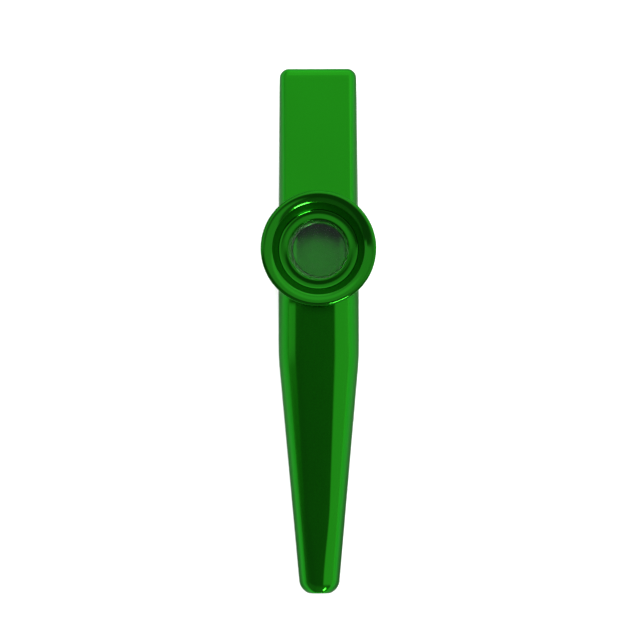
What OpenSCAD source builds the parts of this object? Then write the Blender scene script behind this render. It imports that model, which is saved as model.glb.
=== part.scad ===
// A pressed aluminium kazoo: two half shells lapped along a side seam, a turned turret
// neck, and a drawn screw cap that clamps a thin membrane over the neck's bore.
// The mouth points along +Y and the turret along +Z. The origin is on the turret's axis,
// in the plane of the flat underside that the kazoo lies on.

/* [Body] */
// Length of the body from the mouth to the tail
body_l = 120; // [105:0.5:136]
// Width of the body beside the turret
body_w = 18.44; // [17:0.02:21]
// Height of the body under the turret
body_h = 13; // [11:0.1:15]
// Thickness of the sheet that both shells are pressed from
sheet = 0.7; // [0.5:0.05:0.9]
// Share of the underside's width that is flat
under_flat_share = 0.5; // [0.3:0.05:0.7]

/* [Mouth] */
// Distance from the turret's axis to the mouth
mouth_l = 42.5; // [37:0.5:50]
// Width of the body at the mouth
mouth_w = 17.65; // [15:0.05:20]
// Height of the body at the mouth
mouth_h = 8.5; // [7.5:0.1:10]
// Share of the mouthpiece's width that is flat on top
mouth_flat_share = 0.77; // [0.6:0.01:0.8]
// Outside radius of the rolled lip round the mouth
mouth_curl = 1.8; // [1.5:0.05:2.2]

/* [Tail] */
// Width of the body at the tail
tail_w = 8.7; // [7.5:0.05:11]
// Height of the body at the tail
tail_h = 8.9; // [7.5:0.1:10]
// Rise of the underside at the tail
tail_lift = 1; // [0.4:0.1:1.2]
// Distance from the turret's axis to where the sides draw in
taper_start = 22.2; // [18:0.1:28]
// Share of the tail's width that is flat on top
tail_flat_share = 0.36; // [0.2:0.02:0.5]
// Outside radius, seen from above, of the rolled edge round the tail's hole
tail_curl = 2.95; // [2.2:0.05:3.2]
// How far that roll draws in the top and the underside, as a share of the sides
tail_draw_share = 0.55; // [0.4:0.05:1]

/* [Seam] */
// Height of the seam above the underside
seam_h = 4.5; // [4:0.1:5.2]
// Open line between the two shells' edges
seam_gap = 0.1; // [0.05:0.01:0.2]
// Height of the lower shell's tongue inside the upper one
lap_h = 1.6; // [1:0.1:2.2]
// Room between the tongue and the upper shell
lap_clearance = 0.06; // [0.04:0.01:0.1]

/* [Turret neck] */
// Width left between the neck's bore and the widest part of the body's side
shoulder_w = 2.82; // [2.5:0.02:3.4]
// Thickness of the spigot that goes through the upper shell
spigot_wall = 0.6; // [0.4:0.05:0.8]
// Height of the collar above the body
collar_h = 3.4; // [2.8:0.1:4.4]
// Width of the collar's rim outside the recess for the membrane's ring
rim_w = 1.3; // [1.1:0.05:1.8]
// Room round the spigot in its hole
spigot_clearance = 0.03; // [0.02:0.01:0.06]
// How far the spigot's rolled foot reaches under the shell
foot_reach = 0.5; // [0.3:0.05:0.6]

/* [Screw cap] */
// Thickness of the cap's drawn wall
cap_wall = 0.85; // [0.6:0.05:1]
// Room between the cap's bore and the collar
thread_clearance = 0.1; // [0.06:0.01:0.2]
// Width of the cap's lip
lip_w = 2.9; // [2.7:0.05:3.3]
// How far the lip stands out over the skirt
lip_out = 0.75; // [0.5:0.05:0.9]
// Thickness of the lip at its outer edge
lip_t = 1; // [0.8:0.05:1.2]
// Radius of the lip's outer edge
lip_edge = 0.3; // [0.2:0.05:0.35]
// Width of the brim outside the lip's crest
brim_w = 0.85; // [0.6:0.05:1.1]
// How far the brim falls from the crest to the outer edge
brim_fall = 0.2; // [0.1:0.02:0.3]
// How far the lip falls from its crest to its inner edge
lip_fall = 0.67; // [0.4:0.01:1]
// Depth from the crest of the lip to the cap's floor
cap_recess = 3.6; // [2.8:0.1:4.6]
// Thickness of the floor that presses on the membrane's ring
floor_t = 0.8; // [0.6:0.05:1.1]
// How far the floor reaches past the membrane's ring
floor_reach = 0.15; // [0.05:0.05:0.3]
// Height of the low step round the hole in the floor
floor_step = 0.05; // [0.03:0.01:0.1]
// Width of the slope up to that step
floor_slope_w = 0.75; // [0.5:0.05:0.9]
// Height of the cap's edge above the body
skirt_gap = 1; // [0.6:0.1:1.4]
// Height over which the skirt runs out under the lip
flare = 0.9; // [0.6:0.05:1.2]

/* [Membrane] */
// How far the ring that holds the film reaches in over the neck's bore
ring_reach = 0.4; // [0.2:0.05:0.8]
// Width of the ring
ring_w = 2.8; // [2.2:0.1:3.2]
// How much of the ring's width shows in the cap's hole
ring_show = 0.75; // [0.5:0.05:1]
// Thickness of the ring
ring_t = 0.5; // [0.3:0.05:0.7]
// Thickness of the film
film_t = 0.12; // [0.1:0.01:0.2]
// How far the film stops inside the ring's edge
film_margin = 0.2; // [0.1:0.05:0.4]
// How far the loose ring lies to one side of the turret's axis
ring_shift = 0.25; // [0.05:0.05:0.28]
// Room round the ring in the cap
ring_clearance = 0.35; // [0.3:0.05:0.5]
// Least room between pieces that turn or lift past each other
face_clearance = 0.03; // [0.02:0.01:0.06]

/* [Hidden] */

// Fineness of the loft and of the turned profiles
corner_n = 8;
curl_n = 6;
body_n = 28;
arc_n = 8;
$fn = 96;

// How far a rolled edge turns in before it is cut, in degrees
curl_turn = 68;
// Thickness left where the rolled edge is cut
curl_edge = sheet/5;
// The turret is sized from the body: the bore, the spigot, the ring, its recess and the collar round it
bore_r = body_w/2 - shoulder_w;
spigot_r = bore_r + spigot_wall;
ring_inner_r = bore_r - ring_reach;
ring_outer_r = ring_inner_r + ring_w;
pocket_r = ring_outer_r + ring_clearance;
collar_r = pocket_r + cap_wall + rim_w;
// The level land under the turret reaches past the spigot, and each slope leaves it softly
land = spigot_r + spigot_clearance + sheet;
soft = land/3;
// Behind the land the top changes from the mouth's flat section to the tail's round one, over this length
morph = land;
// Least width left for a rounded corner of the section
corner_least = sheet/4;
// The tongue thins out over this length at each end, down to this share of itself
lap_fade = 4*lap_h;
lap_least_share = 0.15;
// How far a cutting solid passes the face that it cuts
overrun = sheet;

tail_l = body_l - mouth_l;
mouth_c = mouth_l - mouth_curl*sin(curl_turn);
tail_c = tail_l - tail_curl*sin(curl_turn);
mouth_side_rate = (body_w - mouth_w)/2/mouth_l;
tail_side_rate = (body_w - tail_w)/2/(tail_l - taper_start);
mouth_top_rate = (body_h - mouth_h)/(mouth_l - land);
tail_top_rate = (body_h - tail_lift - tail_h)/(tail_l - land);
tail_under_rate = tail_lift/(tail_l - taper_start);

seat_z = body_h + collar_h;
neck_chamfer = sheet/2;

film_z = seat_z + face_clearance;
ring_z = film_z + film_t;
pocket_z = ring_z + ring_t + face_clearance;
pocket_foot_z = seat_z + ring_t/2;

hole_r = ring_inner_r + ring_show;
floor_r = ring_outer_r + floor_reach;
thread_r = collar_r + thread_clearance;
skirt_r = thread_r + cap_wall;
lip_r = skirt_r + lip_out;
lip_inner_r = lip_r - lip_w;
crest_r = lip_r - brim_w;
cap_foot_z = body_h + skirt_gap;
floor_z = pocket_z + floor_t;
lip_z = floor_z + cap_recess;
bowl_fillet = cap_wall;
foot_edge = cap_wall/4;
flare_turn = 60;

// Zero below -s, t above s, and a parabola between, so that two slopes meet without a crease
function ramp(t, s) = t <= -s ? 0 : t >= s ? t : (t + s)*(t + s)/(4*s);
// From 0 to 1 with no crease at either end
function ease(t) = let (u = max(0, min(1, t))) u*u*(3 - 2*u);

// The body's outline, read at a place y along it
function half_w(y) = body_w/2 - mouth_side_rate*ramp(y, soft) - tail_side_rate*ramp(-y - taper_start, soft);
function top_h(y) = body_h - seam_h - mouth_top_rate*ramp(y - land, soft) - tail_top_rate*ramp(-y - land, soft);
function under_h(y) = seam_h - tail_under_rate*ramp(-y - taper_start, soft);
function top_flat_share(y) = tail_flat_share + (mouth_flat_share - tail_flat_share)*ease((y + land + morph)/morph);

// How far the outside and the inside of the sheet lie inside that outline, where it rolls in at either end
function past_curl(y) = y > mouth_c ? y - mouth_c : -y > tail_c ? -y - tail_c : 0;
function curl_r(y) = y > 0 ? mouth_curl : tail_curl;
function outer_inset(y) = let (r = curl_r(y)) r - sqrt(r*r - pow(past_curl(y), 2));
function inner_inset(y) =
    let (r = curl_r(y), q = r - sheet, p = past_curl(y))
    let (inner_end = q*sin(curl_turn), outer_end = r*sin(curl_turn))
    let (least = r - q*cos(curl_turn), last = r - r*cos(curl_turn) + curl_edge)
    p < inner_end ? r - sqrt(q*q - p*p) : least + (last - least)*(p - inner_end)/(outer_end - inner_end);

// How far the outside and the inside of the sheet lie below the top there, and above the underside
function draw_share(y) = y > 0 ? 1 : tail_draw_share;
function outer_drop(y) = draw_share(y)*outer_inset(y);
function inner_drop(y) = sheet + draw_share(y)*(inner_inset(y) - sheet);

// Half the width of a section's flat, where the outline is drawn in by i
function flat_w(share, y, i) = min(share*half_w(y), half_w(y) - i - corner_least);

// A quarter of a section as [x, height from the seam]: from the side, round the corner, to the edge of the flat
function corner(flat, wide, high) = [for (k = [0:corner_n]) let (t = 90*k/corner_n)
    [flat + (wide - flat)*cos(t), high*sin(t)]];
function flipped(path) = [for (p = path) [-p[0], p[1]]];
function reversed(path) = [for (k = [len(path) - 1:-1:0]) path[k]];

// The upper shell's section, from the right seam over the top to the left one
function upper_path(y, i, drop) =
    let (right = corner(flat_w(top_flat_share(y), y, i), half_w(y) - i, top_h(y) - drop))
    concat(right, reversed(flipped(right)));

// Half the width inside the upper shell at a height z above the seam
function inside_w(y, z) =
    let (i = inner_inset(y), f = flat_w(top_flat_share(y), y, i), h = top_h(y) - inner_drop(y))
    f + (half_w(y) - i - f)*sqrt(max(0, 1 - z*z/(h*h)));

// The tongue's size near either end, as a share of its full size
function lap_share(y) = lap_least_share + (1 - lap_least_share)*ease((min(mouth_c - y, tail_c + y))/lap_fade);

// The lower shell's section, from the left tongue round the bottom to the right one
function under_path(y, i, drop, foot) =
    let (quarter = corner(flat_w(under_flat_share, y, i), half_w(y) - i, under_h(y) - drop - foot))
    [for (p = quarter) [p[0], -foot - p[1]]];
function lower_outer(y) =
    let (up = lap_h*lap_share(y), quarter = under_path(y, outer_inset(y), outer_drop(y), seam_gap))
    let (right = concat([for (z = [up, up/2, -seam_gap]) [inside_w(y, max(0, z)) - lap_clearance, z]], quarter))
    concat(flipped(right), reversed(right));
function lower_inner(y) =
    let (up = lap_h*lap_share(y), thin = sheet*lap_share(y))
    let (quarter = under_path(y, inner_inset(y), inner_drop(y), seam_gap + sheet))
    let (foot = -seam_gap - sheet/2)
    let (right = concat([for (z = [up, up/2, foot]) [inside_w(y, max(0, z)) - lap_clearance - thin, z]], quarter))
    concat(flipped(right), reversed(right));

// Places along the body at which the loft is cut, from the lip of the mouth to that of the tail
stations = concat(
    [for (k = [0:curl_n]) mouth_c + mouth_curl*sin(curl_turn*(1 - k/curl_n))],
    [for (k = [1:body_n - 1]) mouth_c - (mouth_c + tail_c)*k/body_n],
    [for (k = [0:curl_n]) -tail_c - tail_curl*sin(curl_turn*k/curl_n)]);

function quad(a, b, c, d) = [[c, b, a], [d, c, a]];
function in_place(path, y) = [for (p = path) [p[0], y, seam_h + p[1]]];

// A channel of sheet lofted through sections, each an outer path and an inner path of as many points
module channel(outer, inner) {
    m = len(outer);
    n = len(outer[0]);
    points = [for (j = [0:m - 1]) each concat(in_place(outer[j], stations[j]), in_place(inner[j], stations[j]))];
    function o(j, k) = 2*n*j + k;
    function i(j, k) = 2*n*j + n + k;
    faces = concat(
        [for (j = [0:m - 2], k = [0:n - 2]) each quad(o(j, k), o(j, k + 1), o(j + 1, k + 1), o(j + 1, k))],
        [for (j = [0:m - 2], k = [0:n - 2]) each quad(i(j, k), i(j + 1, k), i(j + 1, k + 1), i(j, k + 1))],
        [for (j = [0:m - 2]) each quad(o(j, 0), o(j + 1, 0), i(j + 1, 0), i(j, 0))],
        [for (j = [0:m - 2]) each quad(o(j, n - 1), i(j, n - 1), i(j + 1, n - 1), o(j + 1, n - 1))],
        [for (k = [0:n - 2]) each quad(o(0, k), i(0, k), i(0, k + 1), o(0, k + 1))],
        [for (k = [0:n - 2]) each quad(o(m - 1, k), o(m - 1, k + 1), i(m - 1, k + 1), i(m - 1, k))]);
    polyhedron(points, faces, convexity = 6);
}

// Upper half of the body, with the round hole that the turret's spigot goes through
module upper_shell() {
    color("forestgreen")
    difference() {
        channel([for (y = stations) upper_path(y, outer_inset(y), outer_drop(y))],
                [for (y = stations) upper_path(y, inner_inset(y), inner_drop(y))]);
        translate([0, 0, seam_h + lap_h + overrun])
            cylinder(h = body_h, r = spigot_r + spigot_clearance);
    }
}

// Lower half of the body, flat underneath, with a tongue that laps inside the upper half
module lower_shell() {
    color("seagreen")
    channel([for (y = stations) lower_outer(y)], [for (y = stations) lower_inner(y)]);
}

// Height of the upper shell's inside over the turret's axis plane, at a distance x to the side
function inside_z(x) = let (f = flat_w(top_flat_share(0), 0, sheet), w = half_w(0) - sheet - f)
    seam_h + (top_h(0) - sheet)*sqrt(max(0, 1 - pow(max(0, x - f)/w, 2)));

// Turned ring that stands in the upper shell and carries the cap's thread and the membrane's seat
module turret_neck() {
    foot_r = spigot_r + foot_reach;
    foot_top = inside_z(foot_r) - spigot_clearance;
    foot = foot_top - foot_reach;
    color("limegreen")
    rotate_extrude()
    polygon([
        [bore_r, foot + foot_reach/2],
        [bore_r + foot_reach/2, foot],
        [foot_r - foot_reach/4, foot],
        [foot_r, foot + foot_reach/4],
        [foot_r, foot_top],
        [spigot_r, foot_top],
        [spigot_r, body_h],
        [collar_r - neck_chamfer, body_h],
        [collar_r, body_h + neck_chamfer],
        [collar_r, seat_z - neck_chamfer],
        [collar_r - neck_chamfer, seat_z],
        [bore_r, seat_z]]);
}

// Points on a round arc that leaves the point from level and has fallen by fall where it has gone run across
function falling(from, run, fall) = let (r = (run*run + fall*fall)/(2*fall), side = sign(run))
    [for (k = [0:arc_n]) let (t = abs(run)*k/arc_n) [from[0] + side*t, from[1] - r + sqrt(r*r - t*t)]];

// Drawn cap: a skirt that runs out under a broad lip, a conical bowl, and a floor with a round hole
module screw_cap() {
    brim_low = lip_z - brim_fall;
    brim = falling([crest_r, lip_z], brim_w - lip_edge/2, brim_fall);
    under = brim_low - lip_t;
    outside = concat(
        [[thread_r, cap_foot_z], [skirt_r - foot_edge, cap_foot_z], [skirt_r, cap_foot_z + foot_edge]],
        [for (k = [0:arc_n]) let (t = flare_turn*k/arc_n)
            [skirt_r + (lip_out - lip_edge)*(1 - cos(t))/(1 - cos(flare_turn)),
             under - flare*(1 - sin(t)/sin(flare_turn))]],
        [[lip_r, under + lip_edge], [lip_r, brim_low - lip_edge/2]],
        reversed(brim));
    roll = cap_wall/4;
    inner_fall = falling([crest_r, lip_z], lip_inner_r - crest_r, lip_fall);
    bowl = [
        [lip_inner_r - roll/4, lip_z - lip_fall - roll],
        [floor_r + bowl_fillet/4, floor_z + bowl_fillet],
        [floor_r - bowl_fillet/6, floor_z + bowl_fillet/4]];
    step_r = floor_r - bowl_fillet;
    floor_top = [
        [step_r, floor_z],
        [step_r - floor_slope_w, floor_z + floor_step],
        [hole_r + floor_step, floor_z + floor_step]];
    underneath = [
        [hole_r, floor_z],
        [hole_r, pocket_z],
        [pocket_r, pocket_z],
        [pocket_r, pocket_foot_z],
        [pocket_r + cap_wall, pocket_foot_z],
        [pocket_r + cap_wall, floor_z]];
    hollow = [
        [lip_inner_r + cap_wall, lip_z - lip_fall - cap_wall],
        [thread_r, lip_z - cap_wall - roll]];
    color("green")
    rotate_extrude()
    polygon(concat(outside, [for (k = [1:arc_n]) inner_fall[k]], bowl, floor_top, underneath, hollow));
}

// Stiff clear ring that the film is bonded to
module membrane_ring() {
    color("gainsboro")
    translate([ring_shift, 0, ring_z])
    rotate_extrude()
    polygon([
        [ring_inner_r, 0],
        [ring_outer_r, 0],
        [ring_outer_r, ring_t*3/4],
        [ring_outer_r - ring_t/4, ring_t],
        [ring_inner_r + ring_t/4, ring_t],
        [ring_inner_r, ring_t*3/4]]);
}

// Thin film that buzzes, under the ring and over the neck's bore
module membrane_film() {
    color("lightgray")
    translate([ring_shift, 0, film_z])
        cylinder(h = film_t, r = ring_outer_r - film_margin);
}

upper_shell();
lower_shell();
turret_neck();
screw_cap();
membrane_ring();
membrane_film();
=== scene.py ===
# A kazoo of pressed and turned aluminium, dyed green, lying on a white table with its mouth to the back.
import math

import bmesh
import bpy
from mathutils import Matrix, Quaternion, Vector


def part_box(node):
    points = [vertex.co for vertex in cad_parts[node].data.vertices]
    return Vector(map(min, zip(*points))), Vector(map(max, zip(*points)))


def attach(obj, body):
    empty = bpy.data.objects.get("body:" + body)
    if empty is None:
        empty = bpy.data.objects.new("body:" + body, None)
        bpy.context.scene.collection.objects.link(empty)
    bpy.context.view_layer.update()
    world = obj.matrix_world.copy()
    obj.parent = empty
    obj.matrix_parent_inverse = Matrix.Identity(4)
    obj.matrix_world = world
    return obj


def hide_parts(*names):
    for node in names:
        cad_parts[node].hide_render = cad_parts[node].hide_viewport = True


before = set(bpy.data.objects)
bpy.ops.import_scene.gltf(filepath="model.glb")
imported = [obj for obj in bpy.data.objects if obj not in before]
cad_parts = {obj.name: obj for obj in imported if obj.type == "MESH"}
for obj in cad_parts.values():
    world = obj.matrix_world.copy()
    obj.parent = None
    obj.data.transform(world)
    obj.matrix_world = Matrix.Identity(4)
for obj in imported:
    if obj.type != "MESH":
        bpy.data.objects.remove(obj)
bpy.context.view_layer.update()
# Every size below is in millimetres, and MM turns it into the scene's metres
MM = 0.001


# Upper shell. The top half of the body, pressed from 0.7 mm aluminium sheet, polished and then
# anodised with a green dye. It is flat and broad at the mouth, level under the turret, and rounds
# over into the tapering tail. Both ends are rolled inward into a lip.
shell_low, shell_high = (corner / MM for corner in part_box("upper_shell"))
MOUTH_Y = shell_high.y
TAIL_Y = shell_low.y
BODY_W = shell_high.x - shell_low.x
BODY_H = shell_high.z
SEAM_Z = shell_low.z
SHEET = 0.7
MOUTH_W = 17.65
MOUTH_H = 8.5
MOUTH_FLAT_SHARE = 0.77
MOUTH_CURL = 1.8
TAIL_W = 8.7
TAIL_H = 8.9
TAIL_LIFT = 1.0
TAIL_FLAT_SHARE = 0.36
TAIL_END_FLAT_SHARE = 0.14
TAIL_END_RUN = 20
TAIL_CURL = 2.95
TAIL_DRAW_SHARE = 0.55
CURL_TURN = math.radians(68)
CURL_EDGE = 0.14
TAPER_START = 23.6
LAND = 7.73
SOFT = LAND / 3
MOUTH_BLEND = 3.6
CORNER_LEAST = 0.175
EDGE_ROUND = 0.07
SPIGOT_HOLE_R = 7.03
CORNER_STEPS = 28
BODY_STEPS = 130
CURL_STEPS = 14
ROUND_STEPS = 4
DRILL_STEPS = 128
WELD = 1e-4
SHARP_ANGLE = math.radians(35)

mouth_centre = MOUTH_Y - MOUTH_CURL * math.sin(CURL_TURN)
tail_centre = -TAIL_Y - TAIL_CURL * math.sin(CURL_TURN)


def ramp(t, soft):
    """Zero below -soft, t above soft, and a parabola between."""
    if t <= -soft:
        return 0.0
    return t if t >= soft else (t + soft) ** 2 / (4 * soft)


def ease(t):
    """From 0 to 1 with no crease at either end."""
    t = max(0.0, min(1.0, t))
    return t * t * (3 - 2 * t)


def half_width(y):
    """Half the body's width: it narrows evenly to the mouth, and from the taper's start to the tail."""
    mouth_rate = (BODY_W - MOUTH_W) / 2 / MOUTH_Y
    tail_rate = (BODY_W - TAIL_W) / 2 / (-TAIL_Y - TAPER_START)
    return BODY_W / 2 - mouth_rate * ramp(y, SOFT) - tail_rate * ramp(-y - TAPER_START, SOFT)


def height_over_seam(y):
    """How far the top stands over the seam: level on the land under the turret, then down to both ends."""
    mouth_rate = (BODY_H - MOUTH_H) / (MOUTH_Y - LAND)
    tail_rate = (BODY_H - TAIL_LIFT - TAIL_H) / (-TAIL_Y - LAND)
    return BODY_H - SEAM_Z - mouth_rate * ramp(y - LAND, SOFT) - tail_rate * ramp(-y - LAND, SOFT)


def top_flat_share(y):
    """The share of the top's width that is flat: most at the mouth, and least at the tail's end."""
    tail_change = TAIL_FLAT_SHARE - TAIL_END_FLAT_SHARE
    tail = TAIL_END_FLAT_SHARE + tail_change * ease((y - TAIL_Y) / TAIL_END_RUN)
    return tail + (MOUTH_FLAT_SHARE - tail) * ease((y + LAND + MOUTH_BLEND) / MOUTH_BLEND)


def insets(y):
    """How far the outside and the inside of the sheet lie inside the outline, rolled in at the ends."""
    radius = MOUTH_CURL if y > 0 else TAIL_CURL
    past = max(0.0, y - mouth_centre, -y - tail_centre)
    inner_radius = radius - SHEET
    inner_end, outer_end = inner_radius * math.sin(CURL_TURN), radius * math.sin(CURL_TURN)
    outer = radius - math.sqrt(radius ** 2 - past ** 2)
    if past < inner_end:
        return outer, radius - math.sqrt(inner_radius ** 2 - past ** 2)
    least = radius - inner_radius * math.cos(CURL_TURN)
    last = radius - radius * math.cos(CURL_TURN) + CURL_EDGE
    return outer, least + (last - least) * (past - inner_end) / (outer_end - inner_end)


def drops(y):
    """How far the outside and the inside of the sheet lie below the top, or above the underside."""
    share = 1 if y > 0 else TAIL_DRAW_SHARE
    outer, inner = insets(y)
    return share * outer, SHEET + share * (inner - SHEET)


def flat_half(share, y, inset):
    return min(share * half_width(y), half_width(y) - inset - CORNER_LEAST)


def quarter(flat, wide, high):
    """A quarter of a section, from just past the side, round the corner, to the edge of the flat."""
    angles = [math.pi / 2 * k / CORNER_STEPS for k in range(1, CORNER_STEPS + 1)]
    return [(flat + (wide - flat) * math.cos(a), high * math.sin(a)) for a in angles]


def edge_radius(thickness):
    """The rounding of a cut edge of the sheet: a third of the sheet there at most."""
    return min(EDGE_ROUND, thickness / 3)


def arc(x, z, radius, first, last):
    """Points round a small rounded edge, with the angles in degrees."""
    turns = [math.radians(first + (last - first) * k / ROUND_STEPS) for k in range(ROUND_STEPS + 1)]
    return [(x + radius * math.cos(a), z + radius * math.sin(a)) for a in turns]


def mirrored(right):
    """A path that starts on the right, closed over to the left."""
    return right + [(-x, z) for x, z in reversed(right)]


def upper_paths(y):
    outer_inset, inner_inset = insets(y)
    outer_drop, inner_drop = drops(y)
    outer_x, inner_x = half_width(y) - outer_inset, half_width(y) - inner_inset
    edge = edge_radius(outer_x - inner_x)
    share, high = top_flat_share(y), height_over_seam(y)
    outer = quarter(flat_half(share, y, outer_inset), outer_x, high - outer_drop)
    inner = quarter(flat_half(share, y, inner_inset), inner_x, high - inner_drop)
    return (mirrored(arc(outer_x - edge, edge, edge, -90, 0) + outer),
            mirrored(arc(inner_x + edge, edge, edge, 270, 180) + inner))


def stations():
    """Places along the body at which the shells' sections are taken, from the mouth to the tail."""
    turns = [CURL_TURN * k / CURL_STEPS for k in range(CURL_STEPS + 1)]
    mouth = [mouth_centre + MOUTH_CURL * math.sin(a) for a in reversed(turns)]
    tail = [-tail_centre - TAIL_CURL * math.sin(a) for a in turns]
    span = mouth_centre + tail_centre
    return mouth + [mouth_centre - span * k / BODY_STEPS for k in range(1, BODY_STEPS)] + tail


def new_object(name, data):
    made = bpy.data.objects.new(name, data)
    bpy.context.scene.collection.objects.link(made)
    return made


def finish_mesh(piece, material):
    """Faces outward, smooth except over sharp edges, in one material."""
    mesh = piece.data
    work = bmesh.new()
    work.from_mesh(mesh)
    bmesh.ops.remove_doubles(work, verts=work.verts, dist=WELD * MM)
    bmesh.ops.recalc_face_normals(work, faces=work.faces)
    work.to_mesh(mesh)
    work.free()
    mesh.shade_smooth()
    mesh.set_sharp_from_angle(angle=SHARP_ANGLE)
    mesh.materials.clear()
    mesh.materials.append(material)


def pressed_channel(name, paths, places):
    """A channel of sheet through a pair of paths, outer and inner, at each place along the body."""
    points, faces = [], []
    for y, (outer, inner) in zip(places, paths):
        points += [(x * MM, y * MM, (SEAM_Z + z) * MM) for x, z in outer + inner[::-1]]
    count = len(outer) + len(inner)
    for j in range(len(places) - 1):
        for k in range(count):
            a, b = j * count + k, j * count + (k + 1) % count
            faces.append((a, b, b + count, a + count))
    for start in (0, (len(places) - 1) * count):
        for k in range(len(outer) - 1):
            faces.append((start + k, start + k + 1, start + count - 2 - k, start + count - 1 - k))
    mesh = bpy.data.meshes.new(name)
    mesh.from_pydata(points, [], faces)
    inside = mesh.attributes.new("inside", "FLOAT", "POINT")
    inside.data.foreach_set("value", ([0.0] * len(outer) + [1.0] * len(inner)) * len(places))
    return new_object(name, mesh)


def applied(piece):
    """The piece's mesh with its modifiers worked in, and the modifiers removed."""
    seen = piece.evaluated_get(bpy.context.evaluated_depsgraph_get())
    mesh = bpy.data.meshes.new_from_object(seen)
    piece.modifiers.clear()
    piece.data = mesh


def linear(hex_colour):
    """An sRGB hex colour as the linear colour that a shader takes."""
    parts = [int(hex_colour[k:k + 2], 16) / 255 for k in (1, 3, 5)]
    return tuple(c / 12.92 if c <= 0.04045 else ((c + 0.055) / 1.055) ** 2.4 for c in parts) + (1.0,)


def add_node(tree, kind, inputs=(), **settings):
    """Adds a node with its settings, and sets or links each of its inputs."""
    made = tree.nodes.new(kind)
    for name, value in settings.items():
        setattr(made, name, value)
    for name, value in dict(inputs).items():
        if isinstance(value, bpy.types.NodeSocket):
            tree.links.new(value, made.inputs[name])
        else:
            made.inputs[name].default_value = value
    return made


def new_material(name):
    made = bpy.data.materials.new(name)
    made.use_nodes = True
    made.node_tree.nodes.clear()
    return made, made.node_tree


# Anodised aluminium. The dye sits in the clear oxide, so the metal's own reflections come back
# green, with only a faint white gloss from the sealed oxide, which shows where it is seen at a
# slant. The polish before the bath leaves a satin gloss, with fine marks along the way it was worked,
# drawn about 0.1 mm wide, coarser than real ones, so that they show. Pressings are rougher inside.
BODY_DYE = ("#0E7104", "#0D6C03")
DYE_EDGE = "#76B474"
DYE_WAVE = 14
GRAIN_SLENDERNESS = 60
GRAIN_RELIEF = 0.15
POLISH_SPREAD = 0.03
SEAL_GLOSS = 0.11
SEAL_ROUGHNESS = 0.08
INSIDE_ROUGHER = 0.07


def anodised(name, dyes, roughness, grain, depth, along):
    """Dyed anodised aluminium, with its grain drawn out along one axis and slow waves in the dye."""
    material, tree = new_material(name)
    place = add_node(tree, "ShaderNodeTexCoord").outputs["Object"]
    stretch = [1 / (grain * MM)] * 3
    stretch[along] /= GRAIN_SLENDERNESS
    grain_place = add_node(tree, "ShaderNodeMapping", {"Vector": place, "Scale": stretch})
    marks = add_node(tree, "ShaderNodeTexNoise", {
        "Vector": grain_place.outputs[0], "Scale": 1.0, "Detail": 3.0})
    waves = add_node(tree, "ShaderNodeTexNoise", {
        "Vector": place, "Scale": 1 / (DYE_WAVE * MM), "Detail": 1.0})
    dye = add_node(tree, "ShaderNodeMix", data_type="RGBA")
    tree.links.new(waves.outputs["Fac"], dye.inputs["Factor"])
    dye.inputs["A"].default_value = linear(dyes[0])
    dye.inputs["B"].default_value = linear(dyes[1])
    polish = add_node(tree, "ShaderNodeMapRange", {
        "Value": marks.outputs["Fac"], "To Min": roughness - POLISH_SPREAD,
        "To Max": roughness + POLISH_SPREAD})
    inside = add_node(tree, "ShaderNodeAttribute", attribute_name="inside")
    rough = add_node(tree, "ShaderNodeMath", {
        0: inside.outputs["Fac"], 1: INSIDE_ROUGHER, 2: polish.outputs[0]}, operation="MULTIPLY_ADD")
    relief = add_node(tree, "ShaderNodeBump", {
        "Height": marks.outputs["Fac"], "Strength": GRAIN_RELIEF, "Distance": depth * MM})
    shader = add_node(tree, "ShaderNodeBsdfPrincipled", {
        "Base Color": dye.outputs["Result"], "Roughness": rough.outputs[0], "Normal": relief.outputs[0],
        "Metallic": 1.0, "Specular Tint": linear(DYE_EDGE), "Coat Weight": SEAL_GLOSS,
        "Coat Roughness": SEAL_ROUGHNESS})
    add_node(tree, "ShaderNodeOutputMaterial", {"Surface": shader.outputs[0]})
    return material


body_finish = anodised(
    "anodised_aluminium_pressed", BODY_DYE, roughness=0.17, grain=0.12, depth=0.004, along=1)

places = stations()
upper = pressed_channel("upper_shell_pressing", [upper_paths(y) for y in places], places)
finish_mesh(upper, body_finish)

drill_mesh = bpy.data.meshes.new("spigot_drill")
drill_work = bmesh.new()
bmesh.ops.create_cone(
    drill_work, cap_ends=True, segments=DRILL_STEPS, radius1=SPIGOT_HOLE_R * MM,
    radius2=SPIGOT_HOLE_R * MM, depth=BODY_H * MM)
bmesh.ops.translate(drill_work, verts=drill_work.verts, vec=(0, 0, BODY_H * MM))
drill_work.to_mesh(drill_mesh)
drill_work.free()
drill = new_object("spigot_drill", drill_mesh)
hole = upper.modifiers.new("spigot hole", "BOOLEAN")
hole.object = drill
hole.operation = "DIFFERENCE"
hole.solver = "EXACT"
applied(upper)
bpy.data.objects.remove(drill)
upper.data.materials.clear()
upper.data.materials.append(body_finish)
upper.data.set_sharp_from_angle(angle=SHARP_ANGLE)
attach(upper, "kazoo_body")
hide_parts("upper_shell")


# Lower shell. The bottom half of the body, from the same sheet. Its edge is joggled in by the
# sheet's thickness, and that tongue stands up inside the upper shell, so the two outsides run
# flush with a hairline seam between them. It is flat underneath, where the kazoo lies.
UNDER_FLAT_SHARE = 0.5
SEAM_GAP = 0.1
LAP_H = 1.6
LAP_CLEARANCE = 0.06
LAP_FADE = 6.4
LAP_LEAST_SHARE = 0.15


def depth_under_seam(y):
    """How far the underside lies below the seam: it rises a little towards the tail."""
    rate = TAIL_LIFT / (-TAIL_Y - TAPER_START)
    return SEAM_Z - rate * ramp(-y - TAPER_START, SOFT)


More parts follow.
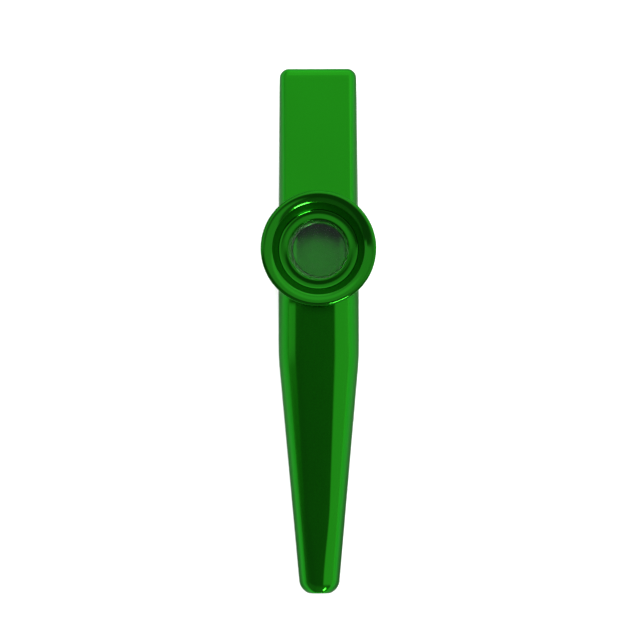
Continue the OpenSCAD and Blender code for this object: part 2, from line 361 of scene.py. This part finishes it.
def width_inside_upper(y, z):
    """Half the room inside the upper shell at a height over the seam."""
    inset = insets(y)[1]
    flat = flat_half(top_flat_share(y), y, inset)
    high = height_over_seam(y) - drops(y)[1]
    return flat + (half_width(y) - inset - flat) * math.sqrt(max(0.0, 1 - (z / high) ** 2))


def under_quarter(y, inset, drop, start):
    """A quarter of a section under the seam, from start below it."""
    wide, high = half_width(y) - inset, depth_under_seam(y) - drop - start
    return [(x, -start - z) for x, z in quarter(flat_half(UNDER_FLAT_SHARE, y, inset), wide, high)]


def lower_paths(y):
    outer_inset, inner_inset = insets(y)
    outer_drop, inner_drop = drops(y)
    from_end = min(mouth_centre - y, tail_centre + y)
    share = LAP_LEAST_SHARE + (1 - LAP_LEAST_SHARE) * ease(from_end / LAP_FADE)
    up, thin = LAP_H * share, SHEET * share
    edge, lip = edge_radius(thin), edge_radius(inner_inset - outer_inset)
    top_x, middle_x, foot_x = (width_inside_upper(y, z) - LAP_CLEARANCE for z in (up, up / 2, 0))
    ledge_x = half_width(y) - outer_inset
    outer = arc(top_x - edge, up - edge, edge, 90, 0) + [(middle_x, up / 2), (foot_x, -SEAM_GAP)]
    outer += arc(ledge_x - lip, -SEAM_GAP - lip, lip, 90, 0)
    outer += under_quarter(y, outer_inset, outer_drop, SEAM_GAP)
    inner = arc(top_x - thin + edge, up - edge, edge, 90, 180)
    inner += [(middle_x - thin, up / 2), (foot_x - thin, -SEAM_GAP - SHEET / 2)]
    inner += [(half_width(y) - inner_inset, -SEAM_GAP - SHEET)] * (ROUND_STEPS + 1)
    inner += under_quarter(y, inner_inset, inner_drop, SEAM_GAP + SHEET)
    return mirrored(outer), mirrored(inner)


lower = pressed_channel("lower_shell_pressing", [lower_paths(y) for y in places], places)
finish_mesh(lower, body_finish)
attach(lower, "kazoo_body")
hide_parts("lower_shell")


# Turret neck. Turned from aluminium bar: a collar with a rolled thread of 0.8 mm pitch for the cap,
# a bore of 12.3 mm, a flat rim that the membrane lies on, and a spigot rolled over under the shell.
neck_low, neck_high = (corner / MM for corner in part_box("turret_neck"))
NECK_R = neck_high.x
SEAT_Z = neck_high.z
BORE_R = 6.15
SPIGOT_R = 7.0
SPIGOT_FOOT_R = 7.5
SPIGOT_FOOT_H = 0.5
SPIGOT_FOOT_ROUNDS = (0.15, 0.12, 0.1)
FLANGE_H = 0.45
FLANGE_ROUND = 0.25
RELIEF_Z = 0.6
RELIEF_ROUND = 0.06
RIM_ROUND = 0.2
BORE_ROUND = 0.08
THREAD_PITCH = 0.8
THREAD_DEPTH = 0.36
THREAD_ROOT_W = 0.5
THREAD_CREST_W = 0.12
THREAD_ROUND = 0.04
THREAD_SINK = 0.06
NECK_THREAD_START = 0.75
NECK_THREAD_TURNS = 2.6
FILLET_STEPS = 5
LATHE_STEPS = 256
LATHE_PIN = 0.1


def filleted(corners):
    """A closed outline from corners of radius, height and fillet, all in mm."""
    outline = []
    for k, (x, z, fillet) in enumerate(corners):
        corner = Vector((x, z))
        if not fillet:
            outline.append((x, z))
            continue
        back = (Vector(corners[k - 1][:2]) - corner).normalized()
        ahead = (Vector(corners[(k + 1) % len(corners)][:2]) - corner).normalized()
        half_turn = back.angle(ahead) / 2
        centre = corner + (back + ahead).normalized() * fillet / math.sin(half_turn)
        start = corner + back * fillet / math.tan(half_turn) - centre
        sweep = (math.pi - 2 * half_turn) * math.copysign(1, back.y * ahead.x - back.x * ahead.y)
        for step in range(FILLET_STEPS + 1):
            outline.append(tuple(centre + Matrix.Rotation(sweep * step / FILLET_STEPS, 2) @ start))
    return outline


def flat_loop(name, outline):
    """A closed loop of edges in the XY plane, from an outline in mm. Its Y points down the lathe."""
    mesh = bpy.data.meshes.new(name)
    points = [(x * MM, -z * MM, 0) for x, z in outline]
    mesh.from_pydata(points, [(k, (k + 1) % len(points)) for k in range(len(points))], [])
    return new_object(name, mesh)


def new_tree(name, sizes):
    """A Geometry Nodes tree with a geometry input and output, and one number input for each size."""
    tree = bpy.data.node_groups.new(name, "GeometryNodeTree")
    tree.interface.new_socket("Geometry", in_out="INPUT", socket_type="NodeSocketGeometry")
    for size in sizes:
        tree.interface.new_socket(size, in_out="INPUT", socket_type="NodeSocketFloat")
    tree.interface.new_socket("Steps", in_out="INPUT", socket_type="NodeSocketInt")
    tree.interface.new_socket("Finish", in_out="INPUT", socket_type="NodeSocketMaterial")
    tree.interface.new_socket("Geometry", in_out="OUTPUT", socket_type="NodeSocketGeometry")
    return tree, add_node(tree, "NodeGroupInput").outputs


def close_tree(tree, geometry, given):
    """Ends a tree in plain geometry with its finish."""
    real = add_node(tree, "GeometryNodeRealizeInstances", {"Geometry": geometry})
    finish = add_node(tree, "GeometryNodeSetMaterial", {
        "Geometry": real.outputs[0], "Material": given["Finish"]})
    add_node(tree, "NodeGroupOutput", {"Geometry": finish.outputs[0]})


def run_tree(piece, tree, values):
    """Puts the tree on the piece with its named inputs, and makes the result the piece's plain mesh."""
    modifier = piece.modifiers.new(tree.name, "NODES")
    modifier.node_group = tree
    for item in tree.interface.items_tree:
        if item.in_out == "INPUT" and item.name in values:
            modifier[item.identifier] = values[item.name]
    applied(piece)


# The lathe: a closed outline swept round a fine pin on the turret's axis
lathe, given = new_tree("lathe", ["Pin"])
rail = add_node(lathe, "GeometryNodeCurvePrimitiveCircle", {
    "Resolution": given["Steps"], "Radius": given["Pin"]})
outline = add_node(lathe, "GeometryNodeMeshToCurve", {"Mesh": given["Geometry"]})
swept = add_node(lathe, "GeometryNodeCurveToMesh", {
    "Curve": rail.outputs[0], "Profile Curve": outline.outputs[0]})
close_tree(lathe, swept.outputs[0], given)

# The thread: the ridge's outline wound up round the same axis, its ends closed
winder, given = new_tree("thread", ["Radius", "Turns", "Rise", "Start"])
helix = add_node(winder, "GeometryNodeCurveSpiral", {
    "Resolution": given["Steps"], "Rotations": given["Turns"], "Start Radius": given["Radius"],
    "End Radius": given["Radius"], "Height": given["Rise"], "Reverse": True})
lift = add_node(winder, "ShaderNodeCombineXYZ", {"Z": given["Start"]})
raised = add_node(winder, "GeometryNodeSetPosition", {
    "Geometry": helix.outputs[0], "Offset": lift.outputs[0]})
upright = add_node(winder, "GeometryNodeSetCurveNormal", {"Curve": raised.outputs[0]}, mode="Z_UP")
ridge = add_node(winder, "GeometryNodeMeshToCurve", {"Mesh": given["Geometry"]})
wound = add_node(winder, "GeometryNodeCurveToMesh", {
    "Curve": upright.outputs[0], "Profile Curve": ridge.outputs[0], "Fill Caps": True})
close_tree(winder, wound.outputs[0], given)


def turned(name, corners, material):
    """A lathe-turned piece from the corners of its outline."""
    piece = flat_loop(name, [(x - LATHE_PIN, z) for x, z in filleted(corners)])
    run_tree(piece, lathe, {"Pin": LATHE_PIN * MM, "Steps": LATHE_STEPS, "Finish": material})
    finish_mesh(piece, material)
    return piece


def thread_ridge(name, root_r, crest_r, start_z, turns, material):
    """A helical ridge that stands from root_r to crest_r, outward or inward, with its root sunk in."""
    reach = crest_r - root_r
    sunk = -math.copysign(THREAD_SINK, reach)
    corners = [
        (sunk, -THREAD_ROOT_W / 2 - THREAD_SINK, 0), (reach, -THREAD_CREST_W / 2, THREAD_ROUND),
        (reach, THREAD_CREST_W / 2, THREAD_ROUND), (sunk, THREAD_ROOT_W / 2 + THREAD_SINK, 0)]
    piece = flat_loop(name, filleted(corners))
    run_tree(piece, winder, {
        "Radius": root_r * MM, "Turns": turns, "Rise": turns * THREAD_PITCH * MM, "Start": start_z * MM,
        "Steps": LATHE_STEPS, "Finish": material})
    finish_mesh(piece, material)
    return piece


def joined(piece, *others):
    """One piece from several meshes."""
    work = bmesh.new()
    for part in (piece, *others):
        work.from_mesh(part.data)
    work.to_mesh(piece.data)
    work.free()
    for part in others:
        bpy.data.objects.remove(part)
    return piece


# Turned aluminium, dyed as the body is, and a little rougher from the lathe
neck_finish = anodised(
    "anodised_aluminium_turned", BODY_DYE, roughness=0.2, grain=0.1, depth=0.004, along=0)
neck_root_r = NECK_R - THREAD_DEPTH
neck = turned("turret_neck_turning", [
    (BORE_R, neck_low.z, SPIGOT_FOOT_ROUNDS[0]), (SPIGOT_FOOT_R, neck_low.z, SPIGOT_FOOT_ROUNDS[1]),
    (SPIGOT_FOOT_R, neck_low.z + SPIGOT_FOOT_H, SPIGOT_FOOT_ROUNDS[2]),
    (SPIGOT_R, neck_low.z + SPIGOT_FOOT_H, 0), (SPIGOT_R, BODY_H, 0), (NECK_R, BODY_H, FLANGE_ROUND),
    (NECK_R, BODY_H + FLANGE_H, RELIEF_ROUND), (neck_root_r, BODY_H + RELIEF_Z, RELIEF_ROUND),
    (neck_root_r, SEAT_Z, RIM_ROUND), (BORE_R, SEAT_Z, BORE_ROUND)], neck_finish)
neck_thread = thread_ridge(
    "neck_thread", neck_root_r, NECK_R, BODY_H + NECK_THREAD_START, NECK_THREAD_TURNS, neck_finish)
joined(neck, neck_thread)
neck.data.set_sharp_from_angle(angle=SHARP_ANGLE)
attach(neck, "kazoo_body")
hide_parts("turret_neck")


# Membrane ring. A stiff clear plastic ring, a little hazy, that the film is bonded to. It lies
# loose in the cap's recess, slightly off the turret's axis, and its inner edge shows in the hole.
ring_low, ring_high = (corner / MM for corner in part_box("membrane_ring"))
RING_SHIFT = (ring_low.x + ring_high.x) / 2
RING_OUTER_R = (ring_high.x - ring_low.x) / 2
RING_INNER_R = 6.0
RING_ROUND = 0.06
RING_OUTER_ROUND = 0.12
RING_INNER_ROUND = 0.36


def shifted(piece, x):
    piece.data.transform(Matrix.Translation((x * MM, 0, 0)))


# Clear polypropylene, moulded, with a slight haze. The index is lower than its own, 1.49, so that
# the ring stays pale over the dark neck.
ring_finish, tree = new_material("clear_polypropylene_ring")
shader = add_node(tree, "ShaderNodeBsdfPrincipled", {
    "Base Color": linear("#F0F5F1"), "Roughness": 0.2, "IOR": 1.25, "Transmission Weight": 1.0})
add_node(tree, "ShaderNodeOutputMaterial", {"Surface": shader.outputs[0]})
ring = turned("membrane_ring_moulding", [
    (RING_INNER_R, ring_low.z, RING_ROUND), (RING_OUTER_R, ring_low.z, RING_ROUND),
    (RING_OUTER_R, ring_high.z, RING_OUTER_ROUND), (RING_INNER_R, ring_high.z, RING_INNER_ROUND)],
    ring_finish)
shifted(ring, RING_SHIFT)
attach(ring, "resonator")
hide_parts("membrane_ring")


# Membrane film. Thin clear plastic, a few hundredths of a millimetre thick, taut under the ring
# and slightly wrinkled. It buzzes over the neck's bore when the player hums.
film_low, film_high = (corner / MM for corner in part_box("membrane_film"))
FILM_R = (film_high.x - film_low.x) / 2
FILM_T = 0.04
FILM_ROOM = 0.03
FILM_WRINKLE = 0.004
FILM_SLACK_RUN = 3
FILM_WAVES = ((1.1, 0.7, 0.4, 1.0), (-0.9, 1.7, 2.1, 0.6))
FILM_HAZE = 0.034
FILM_RINGS = 40
FILM_SPOKES = 128


def wrinkle(x, y):
    """How far the film stands from its mean plane: slack waves that die out under the ring."""
    slack = ease((RING_INNER_R - math.hypot(x, y)) / FILM_SLACK_RUN)
    waves = sum(part * math.sin(across * x + along * y + start) for across, along, start, part in FILM_WAVES)
    return FILM_WRINKLE * slack * waves / sum(wave[-1] for wave in FILM_WAVES)


# Clear cast plastic film, a faint grey haze that is seen through. It is too thin to bend the light
# that passes it, so it is drawn with alpha, and the neck's bore shows under it.
film_finish, tree = new_material("clear_cast_film")
shader = add_node(tree, "ShaderNodeBsdfPrincipled", {
    "Base Color": linear("#5A6462"), "Roughness": 0.2, "Alpha": FILM_HAZE})
add_node(tree, "ShaderNodeOutputMaterial", {"Surface": shader.outputs[0]})
film_mesh = bpy.data.meshes.new("membrane_film_disc")
film_work = bmesh.new()
film_rings = {}
for side, face_z in (("top", film_high.z - FILM_ROOM), ("under", film_high.z - FILM_ROOM - FILM_T)):
    centre_vertex = film_work.verts.new((0, 0, face_z * MM))
    rings = []
    for ring_step in range(1, FILM_RINGS + 1):
        r = FILM_R * ring_step / FILM_RINGS
        loop = []
        for spoke in range(FILM_SPOKES):
            a = 2 * math.pi * spoke / FILM_SPOKES
            x, y = r * math.cos(a), r * math.sin(a)
            loop.append(film_work.verts.new((x * MM, y * MM, (face_z + wrinkle(x, y)) * MM)))
        rings.append(loop)
    for spoke in range(FILM_SPOKES):
        film_work.faces.new((centre_vertex, rings[0][spoke], rings[0][(spoke + 1) % FILM_SPOKES]))
    for near, far in zip(rings, rings[1:]):
        for spoke in range(FILM_SPOKES):
            after = (spoke + 1) % FILM_SPOKES
            film_work.faces.new((near[spoke], far[spoke], far[after], near[after]))
    film_rings[side] = rings[-1]
top_edge, under_edge = film_rings["top"], film_rings["under"]
for spoke in range(FILM_SPOKES):
    after = (spoke + 1) % FILM_SPOKES
    film_work.faces.new((top_edge[spoke], under_edge[spoke], under_edge[after], top_edge[after]))
film_work.to_mesh(film_mesh)
film_work.free()
film = new_object("membrane_film_disc", film_mesh)
finish_mesh(film, film_finish)
shifted(film, RING_SHIFT)
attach(film, "resonator")
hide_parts("membrane_film")


# Screw cap. Drawn from aluminium sheet and turned: a plain skirt that runs out under a broad lip,
# a lip that falls inward, a conical bowl, and a floor with a low step round the membrane's window.
# It is dyed the same green, though its colour is drawn darker than the body's as painted shade,
# and it is polished brighter than the body but for the bowl, which is satin.
cap_low, cap_high = (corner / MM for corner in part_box("screw_cap"))
# The cap's two greens are the body's dye darkened: painted shade, not a different dye
CAP_DYE_WITH_PAINTED_SHADE = ("#0C6004", "#0B5C03")
SATIN_ROUGHNESS = 0.45
SATIN_DULL = 0.17
SATIN_IN = 8.95
SATIN_OUT = 10.35
SATIN_BORDER = 0.2
CAP_WALL = 0.85
THREAD_CLEARANCE = 0.1
SKIRT_BORE_ROUND = 0.12
SKIRT_ROUND = 0.2
LIP_OUT = 0.75
LIP_T = 1.0
LIP_EDGE = 0.3
LIP_UNDER_SHARE = 0.7
LIP_UNDER_ROUND = 0.15
LIP_W = 2.6
LIP_FALL = 0.67
LIP_TO_BOWL = 0.25
LIP_DRAFT = 0.03
BRIM_W = 0.65
BRIM_FALL = 0.2
BRIM_END = 0.2
FLARE = 0.9
FLARE_TURN = math.radians(60)
FLOOR_R = 8.8
FLOOR_FILLET = 0.6
FLOOR_STEP = 0.04
STEP_FOOT_R = 7.95
STEP_TOP_R = 7.2
FLOOR_T = 0.8
HOLE_R = 6.75
HOLE_EDGE = 0.12
POCKET_R = 9.15
POCKET_ROOM = 0.03
POCKET_FOOT = 0.25
POCKET_ROUND = 0.05
HOLLOW_DROP = 0.2
HOLLOW_ROUND = 0.2
HOLLOW_BORE_ROUND = 0.15
CAP_THREAD_LATE = 1.5
CAP_THREAD_TURNS = 1.2
ARC_STEPS = 16
bore_r = NECK_R + THREAD_CLEARANCE
skirt_r = cap_high.x - LIP_OUT
lip_r = cap_high.x
crest_r = lip_r - BRIM_W
lip_inner_r = lip_r - LIP_W
brim_edge_z = cap_high.z - BRIM_FALL * (1 + 2 * BRIM_END / (BRIM_W - BRIM_END))
under_z = cap_high.z - BRIM_FALL - LIP_T
pocket_z = ring_high.z + POCKET_ROOM
pocket_foot_z = SEAT_Z + POCKET_FOOT
floor_z = pocket_z + FLOOR_T


def curving(from_r, to_r, from_z, rise):
    """A round arc that leaves from_r level and has climbed by rise at to_r."""
    run = abs(to_r - from_r)
    radius = (run ** 2 + rise ** 2) / (2 * abs(rise))
    steps = [run * k / ARC_STEPS for k in range(ARC_STEPS + 1)]
    return [(from_r + math.copysign(t, to_r - from_r),
             from_z + math.copysign(radius - math.sqrt(radius ** 2 - t ** 2), rise), 0) for t in steps]


def flaring(from_r, to_r, from_z, to_z):
    """A curve that leaves from_r upright and has leant out by the flare's turn at to_r."""
    turns = [FLARE_TURN * k / ARC_STEPS for k in range(ARC_STEPS + 1)]
    return [(from_r + (to_r - from_r) * (1 - math.cos(t)) / (1 - math.cos(FLARE_TURN)),
             from_z + (to_z - from_z) * math.sin(t) / math.sin(FLARE_TURN), 0) for t in turns]


# Drawn aluminium, polished nearly to a mirror. Between two radii, on the bowl's wall, the polish
# stops short: the metal there is satin, and a little duller.
# Its colours are the cap's darkened green, which holds painted shade
cap_finish = anodised(
    "anodised_aluminium_drawn", CAP_DYE_WITH_PAINTED_SHADE, roughness=0.1, grain=0.1, depth=0.0005, along=0)
tree = cap_finish.node_tree
shader = tree.nodes["Principled BSDF"]
polished_rough = shader.inputs["Roughness"].links[0].from_socket
place = add_node(tree, "ShaderNodeTexCoord")
level = add_node(tree, "ShaderNodeVectorMath", {
    0: place.outputs["Object"], 1: (1, 1, 0)}, operation="MULTIPLY")
from_axis = add_node(tree, "ShaderNodeVectorMath", {0: level.outputs[0]}, operation="LENGTH")
past_floor = add_node(tree, "ShaderNodeMapRange", {
    "Value": from_axis.outputs["Value"], "From Min": SATIN_IN * MM,
    "From Max": (SATIN_IN + SATIN_BORDER) * MM})
short_of_lip = add_node(tree, "ShaderNodeMapRange", {
    "Value": from_axis.outputs["Value"], "From Min": (SATIN_OUT + SATIN_BORDER) * MM,
    "From Max": SATIN_OUT * MM})
satin = add_node(tree, "ShaderNodeMath", {
    0: past_floor.outputs[0], 1: short_of_lip.outputs[0]}, operation="MINIMUM")
satin_rough = add_node(tree, "ShaderNodeMath", {
    0: satin.outputs[0], 1: SATIN_ROUGHNESS}, operation="MULTIPLY")
rougher = add_node(tree, "ShaderNodeMath", {
    0: polished_rough, 1: satin_rough.outputs[0]}, operation="MAXIMUM")
duller = add_node(tree, "ShaderNodeMapRange", {
    "Value": satin.outputs[0], "To Min": 1.0, "To Max": 1 - SATIN_DULL})
tree.links.new(rougher.outputs[0], shader.inputs["Roughness"])
tree.links.new(duller.outputs[0], shader.inputs["Metallic"])

# The outline runs out and up over the lip, down the bowl, across the floor, and back up inside
cap = turned("screw_cap_drawing", [(bore_r, cap_low.z, SKIRT_BORE_ROUND), (skirt_r, cap_low.z, SKIRT_ROUND)]
    + flaring(skirt_r, lip_r - LIP_EDGE, under_z - FLARE, under_z)
    + [(lip_r, under_z + LIP_EDGE * LIP_UNDER_SHARE, LIP_UNDER_ROUND), (lip_r, brim_edge_z, LIP_EDGE)]
    + curving(crest_r, lip_r - BRIM_END, cap_high.z, -BRIM_FALL)[::-1]
    + curving(crest_r, lip_inner_r, cap_high.z, -LIP_FALL)[1:]
    + [(lip_inner_r - LIP_DRAFT, cap_high.z - LIP_FALL - LIP_TO_BOWL, 0), (FLOOR_R, floor_z, FLOOR_FILLET)]
    + curving(STEP_FOOT_R, STEP_TOP_R, floor_z, FLOOR_STEP)
    + [(HOLE_R, floor_z + FLOOR_STEP, HOLE_EDGE), (HOLE_R, pocket_z, POCKET_ROUND), (POCKET_R, pocket_z, 0),
       (POCKET_R, pocket_foot_z, POCKET_ROUND), (POCKET_R + CAP_WALL, pocket_foot_z, HOLLOW_ROUND),
       (POCKET_R + CAP_WALL, floor_z, 0),
       (lip_inner_r + CAP_WALL, cap_high.z - LIP_FALL - CAP_WALL, HOLLOW_ROUND),
       (bore_r, cap_high.z - CAP_WALL - HOLLOW_DROP, HOLLOW_BORE_ROUND)], cap_finish)
cap_thread = thread_ridge(
    "cap_thread", bore_r, bore_r - THREAD_DEPTH,
    BODY_H + NECK_THREAD_START + THREAD_PITCH * CAP_THREAD_LATE, CAP_THREAD_TURNS, cap_finish)
joined(cap, cap_thread)
cap.data.set_sharp_from_angle(angle=SHARP_ANGLE)
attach(cap, "cap")
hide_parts("screw_cap")


# Table. A plain white sheet of matt card under the kazoo, larger than any view of it. In the
# photograph it is blown out to pure white, so the camera sees it so. For every other ray its colour
# holds painted shade: a painted shadow near the body, and painted light that falls off to the left and
# is a little less on the right. The metal picks this painted shade up in its reflections.
TABLE_HALF = 3000
TABLE_DROP = 0.02
# Sizes and shares of the painted shadow and painted light falloff on the card
SHADED_TO = 8
LIT_FROM = 18
SHADED_SHARE = 0.4
LEFT_FROM = 16
LEFT_FALL = 0.3
RIGHT_SHARE = 0.9
table_mesh = bpy.data.meshes.new("table")
corners = [(x * TABLE_HALF * MM, y * TABLE_HALF * MM) for x, y in ((-1, -1), (1, -1), (1, 1), (-1, 1))]
table_mesh.from_pydata([(x, y, -TABLE_DROP * MM) for x, y in corners], [], [(0, 1, 2, 3)])
table = new_object("table", table_mesh)
table_finish, tree = new_material("matt_white_card_painted_shade")
place = add_node(tree, "ShaderNodeTexCoord")
from_middle = add_node(tree, "ShaderNodeVectorMath", {
    0: place.outputs["Object"], 1: (0, (MOUTH_Y + TAIL_Y) / 2 * MM, 0)}, operation="SUBTRACT")
aside = add_node(tree, "ShaderNodeVectorMath", {0: from_middle.outputs[0]}, operation="ABSOLUTE")
aside_x, aside_y, _ = add_node(tree, "ShaderNodeSeparateXYZ", {0: aside.outputs[0]}).outputs
table_x = add_node(tree, "ShaderNodeSeparateXYZ", {0: from_middle.outputs[0]}).outputs["X"]
past_ends = add_node(tree, "ShaderNodeMath", {
    0: aside_y, 1: ((MOUTH_Y - TAIL_Y) / 2 - SHADED_TO) * MM}, operation="SUBTRACT")
clear_of_body = add_node(tree, "ShaderNodeMath", {
    0: aside_x, 1: past_ends.outputs[0]}, operation="MAXIMUM")
# Painted shadow: the card's colour is drawn darker near the body
shade = add_node(tree, "ShaderNodeMapRange", {
    "Value": clear_of_body.outputs[0], "From Min": SHADED_TO * MM, "From Max": LIT_FROM * MM,
    "To Min": SHADED_SHARE})
# Painted light: the card's colour is drawn dimmer further to the left, and a little dimmer on the right
leftward = add_node(tree, "ShaderNodeMath", {0: table_x, 1: -1.0}, operation="MULTIPLY")
far_left = add_node(tree, "ShaderNodeMath", {0: leftward.outputs[0], 1: LEFT_FROM * MM}, operation="MAXIMUM")
nearness = add_node(tree, "ShaderNodeMath", {0: LEFT_FROM * MM, 1: far_left.outputs[0]}, operation="DIVIDE")
painted_left_falloff = add_node(tree, "ShaderNodeMath", {0: nearness.outputs[0], 1: LEFT_FALL}, operation="POWER")
painted_right_dimming = add_node(tree, "ShaderNodeMapRange", {
    "Value": table_x, "From Max": SHADED_TO * MM, "To Min": 1.0, "To Max": RIGHT_SHARE})
# The camera sees the card plain white, and every other ray sees the painted shade
seen = add_node(tree, "ShaderNodeLightPath").outputs["Is Camera Ray"]
for operation, factor in (
        ("MULTIPLY", painted_left_falloff.outputs[0]), ("MULTIPLY", painted_right_dimming.outputs[0]), ("MAXIMUM", seen)):
    shade = add_node(tree, "ShaderNodeMath", {0: shade.outputs[0], 1: factor}, operation=operation)
shader = add_node(tree, "ShaderNodeBsdfPrincipled", {
    "Base Color": shade.outputs[0], "Roughness": 0.9, "Specular IOR Level": 0.0})
add_node(tree, "ShaderNodeOutputMaterial", {"Surface": shader.outputs[0]})
table.data.materials.append(table_finish)


# Studio light. Broad white panels behind the mouth and on both sides, with a dark gap overhead and
# towards the tail that draws the dark band down the body. A broad lamp, low beyond the tail, draws
# the highlights on the cap, and a soft one overhead gives the table its light and isn't reflected.
SURROUND = 1.457
GAP = 0.18
REAR = 1.0
REAR_HOT = 0.5
HORIZON_HOT = 0.7
FRONT = 0.32
RIGHT = 1.03
LEFT = 0.88
LAMP_TOWARDS = (0.352, -0.829, 0.434)
LAMP_DISTANCE = 650
LAMP_LENGTH = 210
LAMP_WIDTH = 100
LAMP_BRIGHTNESS = 50
FILL_HEIGHT = 1200
FILL_SIZE = 1600
FILL_BRIGHTNESS = 2.8

world = bpy.data.worlds.new("studio")
bpy.context.scene.world = world
world.use_nodes = True
studio = world.node_tree
studio.nodes.clear()
towards = add_node(studio, "ShaderNodeTexCoord").outputs["Generated"]
across, along, up = add_node(studio, "ShaderNodeSeparateXYZ", {0: towards}).outputs
lean_right = add_node(studio, "ShaderNodeMath", {0: across, 1: up}, operation="DIVIDE").outputs[0]
lean_left = add_node(studio, "ShaderNodeMath", {0: lean_right, 1: -1.0}, operation="MULTIPLY").outputs[0]
lean_back = add_node(studio, "ShaderNodeMath", {0: along, 1: up}, operation="DIVIDE").outputs[0]

# Each panel of light is a product of ranges. A range rises smoothly from nothing at its start to its
# brightness at its end. A lean is 0 straight overhead and 1 halfway down to the horizon. Where panels
# meet, the brighter one shows, and the last two add to what they lie over, for the cap's bowl and lip.
panels = {
    "right": ("MAXIMUM", [(lean_right, 0.0, 0.3, RIGHT), (along, -0.55, -0.35, 1.0)]),
    "left": ("MAXIMUM", [(lean_left, 1.0, 1.5, LEFT), (along, -0.09, -0.02, 1.0)]),
    "front": ("MAXIMUM", [(lean_back, -0.3, -0.7, FRONT)]),
    "rear": ("MAXIMUM", [(lean_back, 0.035, 0.11, REAR)]),
    "rear strip": ("ADD", [
        (lean_back, 0.4, 0.65, REAR_HOT), (lean_back, 1.7, 1.1, 1.0), (across, -0.65, -0.4, 1.0)]),
    "rear horizon": ("ADD", [(lean_back, 1.3, 2.6, HORIZON_HOT), (across, -0.6, 0.0, 1.0)])}
surround = GAP
for joining, ranges in panels.values():
    panel = 1.0
    for value, start, end, brightness in ranges:
        part = add_node(studio, "ShaderNodeMapRange", {
            "Value": value, "From Min": start, "From Max": end, "To Max": brightness},
            interpolation_type="SMOOTHSTEP")
        panel = add_node(studio, "ShaderNodeMath", {
            0: panel, 1: part.outputs[0]}, operation="MULTIPLY").outputs[0]
    surround = add_node(studio, "ShaderNodeMath", {0: surround, 1: panel}, operation=joining).outputs[0]
strength = add_node(studio, "ShaderNodeMath", {0: surround, 1: SURROUND}, operation="MULTIPLY")
dim = add_node(studio, "ShaderNodeBackground", {"Color": (1, 1, 1, 1), "Strength": strength.outputs[0]})
pale = add_node(studio, "ShaderNodeBackground", {"Color": (1, 1, 1, 1), "Strength": 1.0})
seen = add_node(studio, "ShaderNodeLightPath").outputs["Is Camera Ray"]
backdrop = add_node(studio, "ShaderNodeMixShader", {"Fac": seen, 1: dim.outputs[0], 2: pale.outputs[0]})
add_node(studio, "ShaderNodeOutputWorld", {"Surface": backdrop.outputs[0]})

lamp = bpy.data.lights.new("strip_lamp", "AREA")
lamp.shape = "RECTANGLE"
lamp.size = LAMP_LENGTH * MM
lamp.size_y = LAMP_WIDTH * MM
lamp.energy = LAMP_BRIGHTNESS * math.pi * lamp.size * lamp.size_y
lamp_object = new_object("strip_lamp", lamp)
lamp_object.location = Vector(LAMP_TOWARDS).normalized() * LAMP_DISTANCE * MM
lamp_object.rotation_euler = Vector(LAMP_TOWARDS).to_track_quat("Z", "Y").to_euler()
lamp_object.visible_diffuse = False

fill = bpy.data.lights.new("table_fill", "AREA")
fill.size = FILL_SIZE * MM
fill.energy = FILL_BRIGHTNESS * math.pi * fill.size ** 2
fill_object = new_object("table_fill", fill)
fill_object.location = (0, 0, FILL_HEIGHT * MM)
fill_object.visible_camera = False
fill_object.visible_glossy = False
fill_object.visible_transmission = False


# Camera. Nearly straight above, about three and a half degrees towards the tail, with a long lens,
# as the photograph seems to have been taken.
CAMERA_ELEVATION = math.radians(86.4)
CAMERA_DISTANCE = 700
CAMERA_ROLL = math.radians(-0.17)
CAMERA_AIM = Vector((0.3, -15.2, 6))
CAMERA_LENS = 172
CAMERA_SENSOR = 36
camera_data = bpy.data.cameras.new("camera")
camera_data.lens = CAMERA_LENS
camera_data.sensor_width = CAMERA_SENSOR
camera = new_object("camera", camera_data)
away = Vector((0, -math.cos(CAMERA_ELEVATION), math.sin(CAMERA_ELEVATION)))
camera.location = (CAMERA_AIM + away * CAMERA_DISTANCE) * MM
turn = (-away).to_track_quat("-Z", "Y")
camera.rotation_euler = (turn @ Quaternion((0, 0, 1), CAMERA_ROLL)).to_euler()
bpy.context.scene.camera = camera
bpy.context.scene.view_settings.view_transform = "Standard"
